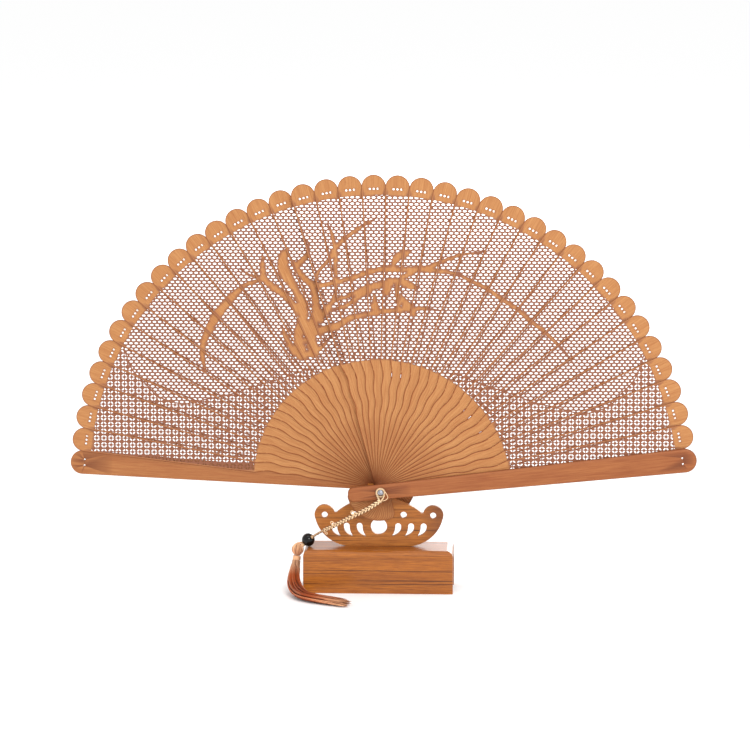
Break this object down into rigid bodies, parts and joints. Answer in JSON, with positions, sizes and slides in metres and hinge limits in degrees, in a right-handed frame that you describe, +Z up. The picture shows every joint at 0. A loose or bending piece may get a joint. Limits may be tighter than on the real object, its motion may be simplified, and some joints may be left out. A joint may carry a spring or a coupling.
{
  "type": "folding fan on stand",
  "caption": "Pierced wooden folding fan that opens round a rivet, with a corded tassel, lifting off an upright wooden plate on a channel base.",
  "frame": {"origin": "under the middle of the whole object, on the surface it stands on", "axes": "+Z up, +X to the right of somebody facing the fan, the fan's front faces -Y and the rivet runs along Y"},
  "size_m": [0.3695, 0.0705, 0.2466],
  "materials": {
    "stick_wood": "satin",
    "guard_wood": "satin",
    "plate_wood": "satin",
    "base_wood": "satin",
    "rivet_metal": "polished",
    "cord": "braided silk",
    "silk": "silk thread",
    "bead": "glossy black"
  },
  "bodies": {
    "stand": {"stand_plate": "plate_wood", "stand_base": "base_wood"},
    "rivet": {"rivet_pin": "rivet_metal", "rivet_cap": "rivet_metal", "front_washer": "rivet_metal", "back_washer": "rivet_metal", "cord_noose": "cord", "tassel_cord": "cord", "bead": "bead", "tassel_knob": "silk", "tassel_collar": "silk", "tassel_skirt": "silk", "stick_19": "stick_wood"},
    "front_guard": {"front_guard": "guard_wood"},
    "stick_01": {"stick_01": "stick_wood"},
    "stick_02": {"stick_02": "stick_wood"},
    "stick_03": {"stick_03": "stick_wood"},
    "stick_04": {"stick_04": "stick_wood"},
    "stick_05": {"stick_05": "stick_wood"},
    "stick_06": {"stick_06": "stick_wood"},
    "stick_07": {"stick_07": "stick_wood"},
    "stick_08": {"stick_08": "stick_wood"},
    "stick_09": {"stick_09": "stick_wood"},
    "stick_10": {"stick_10": "stick_wood"},
    "stick_11": {"stick_11": "stick_wood"},
    "stick_12": {"stick_12": "stick_wood"},
    "stick_13": {"stick_13": "stick_wood"},
    "stick_14": {"stick_14": "stick_wood"},
    "stick_15": {"stick_15": "stick_wood"},
    "stick_16": {"stick_16": "stick_wood"},
    "stick_17": {"stick_17": "stick_wood"},
    "stick_18": {"stick_18": "stick_wood"},
    "stick_20": {"stick_20": "stick_wood"},
    "stick_21": {"stick_21": "stick_wood"},
    "stick_22": {"stick_22": "stick_wood"},
    "stick_23": {"stick_23": "stick_wood"},
    "stick_24": {"stick_24": "stick_wood"},
    "stick_25": {"stick_25": "stick_wood"},
    "stick_26": {"stick_26": "stick_wood"},
    "stick_27": {"stick_27": "stick_wood"},
    "stick_28": {"stick_28": "stick_wood"},
    "stick_29": {"stick_29": "stick_wood"},
    "stick_30": {"stick_30": "stick_wood"},
    "stick_31": {"stick_31": "stick_wood"},
    "stick_32": {"stick_32": "stick_wood"},
    "stick_33": {"stick_33": "stick_wood"},
    "stick_34": {"stick_34": "stick_wood"},
    "stick_35": {"stick_35": "stick_wood"},
    "stick_36": {"stick_36": "stick_wood"},
    "stick_37": {"stick_37": "stick_wood"},
    "back_guard": {"back_guard": "guard_wood"}
  },
  "joints": [
    {"name": "fan_lift", "type": "slide", "parent": "stand", "child": "rivet", "axis": [0, 0, 1], "range_m": [0, 0.06]},
    {"name": "front_guard_fold", "type": "hinge", "parent": "rivet", "child": "front_guard", "pos_m": [0, 0, 0.0612], "axis": [0, -1, 0], "range_deg": [0, 85]},
    {"name": "stick_01_fold", "type": "hinge", "parent": "rivet", "child": "stick_01", "pos_m": [0, 0, 0.0612], "axis": [0, -1, 0], "range_deg": [0, 80.54]},
    {"name": "stick_02_fold", "type": "hinge", "parent": "rivet", "child": "stick_02", "pos_m": [0, 0, 0.0612], "axis": [0, -1, 0], "range_deg": [0, 76.06]},
    {"name": "stick_03_fold", "type": "hinge", "parent": "rivet", "child": "stick_03", "pos_m": [0, 0, 0.0612], "axis": [0, -1, 0], "range_deg": [0, 71.59]},
    {"name": "stick_04_fold", "type": "hinge", "parent": "rivet", "child": "stick_04", "pos_m": [0, 0, 0.0612], "axis": [0, -1, 0], "range_deg": [0, 67.12]},
    {"name": "stick_05_fold", "type": "hinge", "parent": "rivet", "child": "stick_05", "pos_m": [0, 0, 0.0612], "axis": [0, -1, 0], "range_deg": [0, 62.64]},
    {"name": "stick_06_fold", "type": "hinge", "parent": "rivet", "child": "stick_06", "pos_m": [0, 0, 0.0612], "axis": [0, -1, 0], "range_deg": [0, 58.17]},
    {"name": "stick_07_fold", "type": "hinge", "parent": "rivet", "child": "stick_07", "pos_m": [0, 0, 0.0612], "axis": [0, -1, 0], "range_deg": [0, 53.69]},
    {"name": "stick_08_fold", "type": "hinge", "parent": "rivet", "child": "stick_08", "pos_m": [0, 0, 0.0612], "axis": [0, -1, 0], "range_deg": [0, 49.22]},
    {"name": "stick_09_fold", "type": "hinge", "parent": "rivet", "child": "stick_09", "pos_m": [0, 0, 0.0612], "axis": [0, -1, 0], "range_deg": [0, 44.75]},
    {"name": "stick_10_fold", "type": "hinge", "parent": "rivet", "child": "stick_10", "pos_m": [0, 0, 0.0612], "axis": [0, -1, 0], "range_deg": [0, 40.27]},
    {"name": "stick_11_fold", "type": "hinge", "parent": "rivet", "child": "stick_11", "pos_m": [0, 0, 0.0612], "axis": [0, -1, 0], "range_deg": [0, 35.8]},
    {"name": "stick_12_fold", "type": "hinge", "parent": "rivet", "child": "stick_12", "pos_m": [0, 0, 0.0612], "axis": [0, -1, 0], "range_deg": [0, 31.33]},
    {"name": "stick_13_fold", "type": "hinge", "parent": "rivet", "child": "stick_13", "pos_m": [0, 0, 0.0612], "axis": [0, -1, 0], "range_deg": [0, 26.85]},
    {"name": "stick_14_fold", "type": "hinge", "parent": "rivet", "child": "stick_14", "pos_m": [0, 0, 0.0612], "axis": [0, -1, 0], "range_deg": [0, 22.38]},
    {"name": "stick_15_fold", "type": "hinge", "parent": "rivet", "child": "stick_15", "pos_m": [0, 0, 0.0612], "axis": [0, -1, 0], "range_deg": [0, 17.9]},
    {"name": "stick_16_fold", "type": "hinge", "parent": "rivet", "child": "stick_16", "pos_m": [0, 0, 0.0612], "axis": [0, -1, 0], "range_deg": [0, 13.43]},
    {"name": "stick_17_fold", "type": "hinge", "parent": "rivet", "child": "stick_17", "pos_m": [0, 0, 0.0612], "axis": [0, -1, 0], "range_deg": [0, 8.96]},
    {"name": "stick_18_fold", "type": "hinge", "parent": "rivet", "child": "stick_18", "pos_m": [0, 0, 0.0612], "axis": [0, -1, 0], "range_deg": [0, 4.48]},
    {"name": "stick_20_fold", "type": "hinge", "parent": "rivet", "child": "stick_20", "pos_m": [0, 0, 0.0612], "axis": [0, -1, 0], "range_deg": [-4.48, 0]},
    {"name": "stick_21_fold", "type": "hinge", "parent": "rivet", "child": "stick_21", "pos_m": [0, 0, 0.0612], "axis": [0, -1, 0], "range_deg": [-8.96, 0]},
    {"name": "stick_22_fold", "type": "hinge", "parent": "rivet", "child": "stick_22", "pos_m": [0, 0, 0.0612], "axis": [0, -1, 0], "range_deg": [-13.43, 0]},
    {"name": "stick_23_fold", "type": "hinge", "parent": "rivet", "child": "stick_23", "pos_m": [0, 0, 0.0612], "axis": [0, -1, 0], "range_deg": [-17.9, 0]},
    {"name": "stick_24_fold", "type": "hinge", "parent": "rivet", "child": "stick_24", "pos_m": [0, 0, 0.0612], "axis": [0, -1, 0], "range_deg": [-22.38, 0]},
    {"name": "stick_25_fold", "type": "hinge", "parent": "rivet", "child": "stick_25", "pos_m": [0, 0, 0.0612], "axis": [0, -1, 0], "range_deg": [-26.85, 0]},
    {"name": "stick_26_fold", "type": "hinge", "parent": "rivet", "child": "stick_26", "pos_m": [0, 0, 0.0612], "axis": [0, -1, 0], "range_deg": [-31.33, 0]},
    {"name": "stick_27_fold", "type": "hinge", "parent": "rivet", "child": "stick_27", "pos_m": [0, 0, 0.0612], "axis": [0, -1, 0], "range_deg": [-35.8, 0]},
    {"name": "stick_28_fold", "type": "hinge", "parent": "rivet", "child": "stick_28", "pos_m": [0, 0, 0.0612], "axis": [0, -1, 0], "range_deg": [-40.27, 0]},
    {"name": "stick_29_fold", "type": "hinge", "parent": "rivet", "child": "stick_29", "pos_m": [0, 0, 0.0612], "axis": [0, -1, 0], "range_deg": [-44.75, 0]},
    {"name": "stick_30_fold", "type": "hinge", "parent": "rivet", "child": "stick_30", "pos_m": [0, 0, 0.0612], "axis": [0, -1, 0], "range_deg": [-49.22, 0]},
    {"name": "stick_31_fold", "type": "hinge", "parent": "rivet", "child": "stick_31", "pos_m": [0, 0, 0.0612], "axis": [0, -1, 0], "range_deg": [-53.69, 0]},
    {"name": "stick_32_fold", "type": "hinge", "parent": "rivet", "child": "stick_32", "pos_m": [0, 0, 0.0612], "axis": [0, -1, 0], "range_deg": [-58.17, 0]},
    {"name": "stick_33_fold", "type": "hinge", "parent": "rivet", "child": "stick_33", "pos_m": [0, 0, 0.0612], "axis": [0, -1, 0], "range_deg": [-62.64, 0]},
    {"name": "stick_34_fold", "type": "hinge", "parent": "rivet", "child": "stick_34", "pos_m": [0, 0, 0.0612], "axis": [0, -1, 0], "range_deg": [-67.12, 0]},
    {"name": "stick_35_fold", "type": "hinge", "parent": "rivet", "child": "stick_35", "pos_m": [0, 0, 0.0612], "axis": [0, -1, 0], "range_deg": [-71.59, 0]},
    {"name": "stick_36_fold", "type": "hinge", "parent": "rivet", "child": "stick_36", "pos_m": [0, 0, 0.0612], "axis": [0, -1, 0], "range_deg": [-76.06, 0]},
    {"name": "stick_37_fold", "type": "hinge", "parent": "rivet", "child": "stick_37", "pos_m": [0, 0, 0.0612], "axis": [0, -1, 0], "range_deg": [-80.54, 0]},
    {"name": "back_guard_fold", "type": "hinge", "parent": "rivet", "child": "back_guard", "pos_m": [0, 0, 0.0612], "axis": [0, -1, 0], "range_deg": [-85.01, 0]}
  ],
  "couplings": [
    {"joint": "stick_01_fold", "follows": "front_guard_fold", "ratio": 0.94737},
    {"joint": "stick_02_fold", "follows": "front_guard_fold", "ratio": 0.89474},
    {"joint": "stick_03_fold", "follows": "front_guard_fold", "ratio": 0.8421},
    {"joint": "stick_04_fold", "follows": "front_guard_fold", "ratio": 0.78947},
    {"joint": "stick_05_fold", "follows": "front_guard_fold", "ratio": 0.73684},
    {"joint": "stick_06_fold", "follows": "front_guard_fold", "ratio": 0.68421},
    {"joint": "stick_07_fold", "follows": "front_guard_fold", "ratio": 0.63158},
    {"joint": "stick_08_fold", "follows": "front_guard_fold", "ratio": 0.57895},
    {"joint": "stick_09_fold", "follows": "front_guard_fold", "ratio": 0.52632},
    {"joint": "stick_10_fold", "follows": "front_guard_fold", "ratio": 0.47368},
    {"joint": "stick_11_fold", "follows": "front_guard_fold", "ratio": 0.42105},
    {"joint": "stick_12_fold", "follows": "front_guard_fold", "ratio": 0.36842},
    {"joint": "stick_13_fold", "follows": "front_guard_fold", "ratio": 0.31579},
    {"joint": "stick_14_fold", "follows": "front_guard_fold", "ratio": 0.26316},
    {"joint": "stick_15_fold", "follows": "front_guard_fold", "ratio": 0.21053},
    {"joint": "stick_16_fold", "follows": "front_guard_fold", "ratio": 0.1579},
    {"joint": "stick_17_fold", "follows": "front_guard_fold", "ratio": 0.10526},
    {"joint": "stick_18_fold", "follows": "front_guard_fold", "ratio": 0.052632},
    {"joint": "stick_20_fold", "follows": "front_guard_fold", "ratio": -0.052632},
    {"joint": "stick_21_fold", "follows": "front_guard_fold", "ratio": -0.10526},
    {"joint": "stick_22_fold", "follows": "front_guard_fold", "ratio": -0.1579},
    {"joint": "stick_23_fold", "follows": "front_guard_fold", "ratio": -0.21053},
    {"joint": "stick_24_fold", "follows": "front_guard_fold", "ratio": -0.26316},
    {"joint": "stick_25_fold", "follows": "front_guard_fold", "ratio": -0.31579},
    {"joint": "stick_26_fold", "follows": "front_guard_fold", "ratio": -0.36842},
    {"joint": "stick_27_fold", "follows": "front_guard_fold", "ratio": -0.42105},
    {"joint": "stick_28_fold", "follows": "front_guard_fold", "ratio": -0.47368},
    {"joint": "stick_29_fold", "follows": "front_guard_fold", "ratio": -0.52632},
    {"joint": "stick_30_fold", "follows": "front_guard_fold", "ratio": -0.57895},
    {"joint": "stick_31_fold", "follows": "front_guard_fold", "ratio": -0.63158},
    {"joint": "stick_32_fold", "follows": "front_guard_fold", "ratio": -0.68421},
    {"joint": "stick_33_fold", "follows": "front_guard_fold", "ratio": -0.73684},
    {"joint": "stick_34_fold", "follows": "front_guard_fold", "ratio": -0.78947},
    {"joint": "stick_35_fold", "follows": "front_guard_fold", "ratio": -0.8421},
    {"joint": "stick_36_fold", "follows": "front_guard_fold", "ratio": -0.89474},
    {"joint": "stick_37_fold", "follows": "front_guard_fold", "ratio": -0.94737},
    {"joint": "back_guard_fold", "follows": "front_guard_fold", "ratio": -1}
  ]
}
